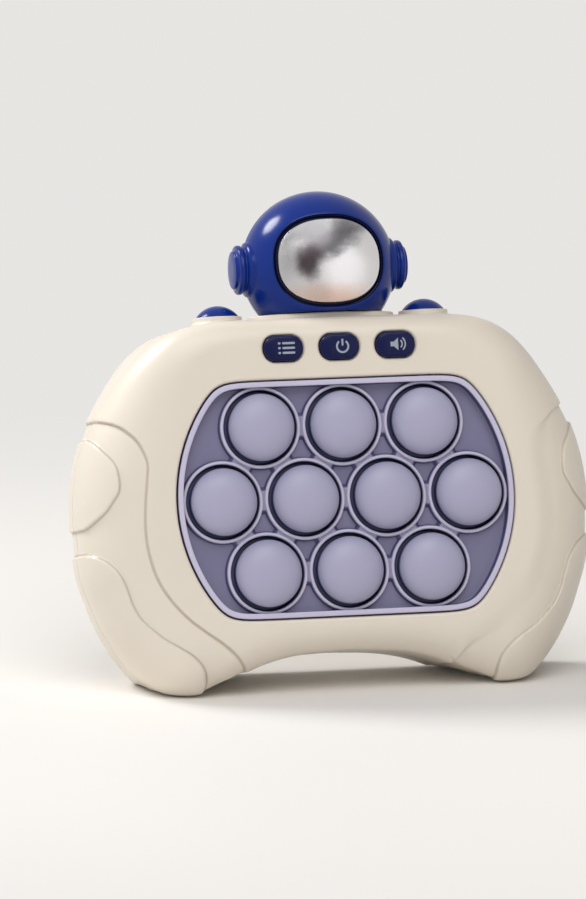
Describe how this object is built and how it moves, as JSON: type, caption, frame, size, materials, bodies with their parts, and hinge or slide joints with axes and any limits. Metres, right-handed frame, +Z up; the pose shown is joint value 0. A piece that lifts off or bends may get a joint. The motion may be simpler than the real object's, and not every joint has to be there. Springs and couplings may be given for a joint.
{
  "type": "electronic bubble pop game",
  "caption": "Hand-held bubble pop game: a rounded case with side grips, a panel of sprung bubbles, push buttons on the face and shoulders, a helmet ornament on top and a battery bay behind.",
  "frame": {"origin": "centre of the bounding box, at the table the feet stand on", "axes": "+X across the case, to the right of someone facing the bubbles; +Y back, from the bubbles to the battery door; +Z up. The case leans back by 12.3 degrees about X"},
  "size_m": [0.1508, 0.062, 0.1361],
  "materials": {
    "ivory_plastic": "satin moulded, cream",
    "navy_plastic": "glossy, navy blue",
    "panel_plastic": "satin, lavender grey",
    "bubble_silicone": "soft satin silicone, lavender grey",
    "visor_mirror": "silvered",
    "board_green": "green solder mask",
    "mat_rubber": "matt silicone",
    "screw_steel": "plated",
    "contact_steel": "nickel plated",
    "black_plastic": "moulded, black",
    "cone_paper": "pressed paper",
    "cell_jacket": "printed jacket, plain green"
  },
  "bodies": {
    "case": {"front_shell": "ivory_plastic", "rear_shell": "ivory_plastic", "bubble_panel": "panel_plastic", "helmet_front": "navy_plastic", "helmet_rear": "navy_plastic", "visor": "visor_mirror", "left_ear_pod": "navy_plastic", "right_ear_pod": "navy_plastic", "main_board": "board_green", "contact_mat": "mat_rubber", "mode_switch": "black_plastic", "power_switch": "black_plastic", "volume_switch": "black_plastic", "left_shoulder_switch": "black_plastic", "right_shoulder_switch": "black_plastic", "speaker_frame": "black_plastic", "speaker_cone": "cone_paper", "battery_cell_1": "cell_jacket", "battery_cell_2": "cell_jacket", "battery_cell_3": "cell_jacket", "left_battery_contact": "contact_steel", "right_battery_contact": "contact_steel", "case_screw_1": "screw_steel", "case_screw_2": "screw_steel", "case_screw_3": "screw_steel", "case_screw_4": "screw_steel", "case_screw_5": "screw_steel", "case_screw_6": "screw_steel", "board_screw_1": "screw_steel", "board_screw_2": "screw_steel", "board_screw_3": "screw_steel", "board_screw_4": "screw_steel"},
    "bubble_01": {"bubble_01": "bubble_silicone"},
    "bubble_02": {"bubble_02": "bubble_silicone"},
    "bubble_03": {"bubble_03": "bubble_silicone"},
    "bubble_04": {"bubble_04": "bubble_silicone"},
    "bubble_05": {"bubble_05": "bubble_silicone"},
    "bubble_06": {"bubble_06": "bubble_silicone"},
    "bubble_07": {"bubble_07": "bubble_silicone"},
    "bubble_08": {"bubble_08": "bubble_silicone"},
    "bubble_09": {"bubble_09": "bubble_silicone"},
    "bubble_10": {"bubble_10": "bubble_silicone"},
    "mode_button": {"mode_button": "navy_plastic"},
    "power_button": {"power_button": "navy_plastic"},
    "volume_button": {"volume_button": "navy_plastic"},
    "left_shoulder_button": {"left_shoulder_button": "navy_plastic"},
    "right_shoulder_button": {"right_shoulder_button": "navy_plastic"},
    "battery_door": {"battery_door": "ivory_plastic", "battery_door_screw": "screw_steel"}
  },
  "joints": [
    {"name": "bubble_01_press", "type": "slide", "parent": "case", "child": "bubble_01", "axis": [0, 0.977, -0.213], "range_m": [0, 0.004], "stiffness_N_per_m": 400},
    {"name": "bubble_02_press", "type": "slide", "parent": "case", "child": "bubble_02", "axis": [0, 0.977, -0.213], "range_m": [0, 0.004], "stiffness_N_per_m": 400},
    {"name": "bubble_03_press", "type": "slide", "parent": "case", "child": "bubble_03", "axis": [0, 0.977, -0.213], "range_m": [0, 0.004], "stiffness_N_per_m": 400},
    {"name": "bubble_04_press", "type": "slide", "parent": "case", "child": "bubble_04", "axis": [0, 0.977, -0.213], "range_m": [0, 0.004], "stiffness_N_per_m": 400},
    {"name": "bubble_05_press", "type": "slide", "parent": "case", "child": "bubble_05", "axis": [0, 0.977, -0.213], "range_m": [0, 0.004], "stiffness_N_per_m": 400},
    {"name": "bubble_06_press", "type": "slide", "parent": "case", "child": "bubble_06", "axis": [0, 0.977, -0.213], "range_m": [0, 0.004], "stiffness_N_per_m": 400},
    {"name": "bubble_07_press", "type": "slide", "parent": "case", "child": "bubble_07", "axis": [0, 0.977, -0.213], "range_m": [0, 0.004], "stiffness_N_per_m": 400},
    {"name": "bubble_08_press", "type": "slide", "parent": "case", "child": "bubble_08", "axis": [0, 0.977, -0.213], "range_m": [0, 0.004], "stiffness_N_per_m": 400},
    {"name": "bubble_09_press", "type": "slide", "parent": "case", "child": "bubble_09", "axis": [0, 0.977, -0.213], "range_m": [0, 0.004], "stiffness_N_per_m": 400},
    {"name": "bubble_10_press", "type": "slide", "parent": "case", "child": "bubble_10", "axis": [0, 0.977, -0.213], "range_m": [0, 0.004], "stiffness_N_per_m": 400},
    {"name": "mode_press", "type": "slide", "parent": "case", "child": "mode_button", "axis": [0, 0.977, -0.213], "range_m": [0, 0.001], "stiffness_N_per_m": 800},
    {"name": "power_press", "type": "slide", "parent": "case", "child": "power_button", "axis": [0, 0.977, -0.213], "range_m": [0, 0.001], "stiffness_N_per_m": 800},
    {"name": "volume_press", "type": "slide", "parent": "case", "child": "volume_button", "axis": [0, 0.977, -0.213], "range_m": [0, 0.001], "stiffness_N_per_m": 800},
    {"name": "left_shoulder_press", "type": "slide", "parent": "case", "child": "left_shoulder_button", "axis": [0, -0.213, -0.977], "range_m": [0, 0.0012], "stiffness_N_per_m": 800},
    {"name": "right_shoulder_press", "type": "slide", "parent": "case", "child": "right_shoulder_button", "axis": [0, -0.213, -0.977], "range_m": [0, 0.0012], "stiffness_N_per_m": 800},
    {"name": "battery_door_hinge", "type": "hinge", "parent": "case", "child": "battery_door", "pos_m": [0, 0.02395, 0.06991], "axis": [1, 0, 0], "range_deg": [0, 80]}
  ]
}
